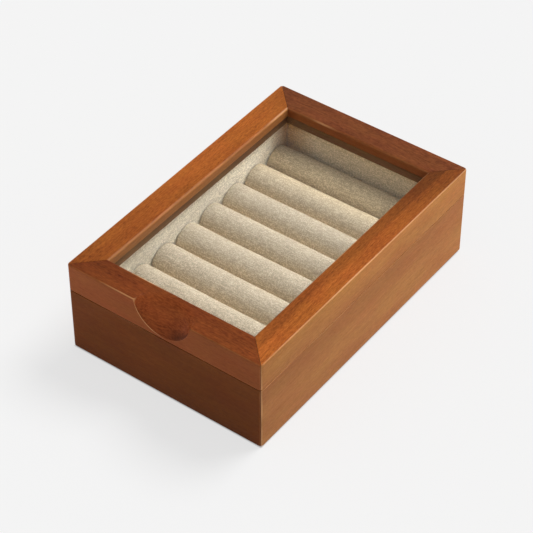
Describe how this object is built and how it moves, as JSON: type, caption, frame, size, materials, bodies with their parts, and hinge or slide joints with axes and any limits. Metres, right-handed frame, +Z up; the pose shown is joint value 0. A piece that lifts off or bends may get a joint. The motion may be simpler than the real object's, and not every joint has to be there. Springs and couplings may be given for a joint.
{
  "type": "wooden ring box",
  "caption": "Shallow hardwood jewelry box with a hinged glass lid in a mitred frame, a scooped finger notch and linen ring rolls inside.",
  "frame": {"origin": "middle of the box's footprint, on the surface it stands on", "axes": "+Z up, +Y from the finger notch towards the hinges, +X to the right when looking along +Y"},
  "size_m": [0.135, 0.2059, 0.064],
  "materials": {
    "wood_long_rail": "satin",
    "wood_short_rail": "satin",
    "wood_long_wall": "satin",
    "wood_short_wall": "satin",
    "bead_wood": "satin",
    "panel_wood": "matte",
    "felt": "matte",
    "linen": "matte",
    "card": "matte",
    "foam": "matte",
    "brass": "satin",
    "screw_brass": "satin",
    "glass": "gloss"
  },
  "bodies": {
    "base": {"base_felt": "felt", "bottom_panel": "panel_wood", "base_wall_front": "wood_short_wall", "base_wall_back": "wood_short_wall", "base_wall_left": "wood_long_wall", "base_wall_right": "wood_long_wall", "liner_front": "linen", "liner_back": "linen", "liner_left": "linen", "liner_right": "linen", "insert_spacer": "foam", "roll_board": "card", "ring_roll_1": "linen", "ring_roll_2": "linen", "ring_roll_3": "linen", "ring_roll_4": "linen", "ring_roll_5": "linen", "ring_roll_6": "linen", "ring_roll_7": "linen", "ring_roll_8": "linen", "hinge_left_base_leaf": "brass", "hinge_left_pin": "brass", "hinge_left_base_screw_1": "screw_brass", "hinge_left_base_screw_2": "screw_brass", "hinge_right_base_leaf": "brass", "hinge_right_pin": "brass", "hinge_right_base_screw_1": "screw_brass", "hinge_right_base_screw_2": "screw_brass"},
    "lid": {"lid_rail_front": "wood_short_rail", "lid_rail_back": "wood_short_rail", "lid_rail_left": "wood_long_rail", "lid_rail_right": "wood_long_rail", "lid_glass": "glass", "glass_bead_front": "bead_wood", "glass_bead_back": "bead_wood", "glass_bead_left": "bead_wood", "glass_bead_right": "bead_wood", "hinge_left_lid_leaf": "brass", "hinge_left_lid_screw_1": "screw_brass", "hinge_left_lid_screw_2": "screw_brass", "hinge_right_lid_leaf": "brass", "hinge_right_lid_screw_1": "screw_brass", "hinge_right_lid_screw_2": "screw_brass"}
  },
  "joints": [
    {"name": "lid_hinge", "type": "hinge", "parent": "base", "child": "lid", "pos_m": [0, 0.1015, 0.0448], "axis": [-1, 0, 0], "range_deg": [0, 95]}
  ]
}
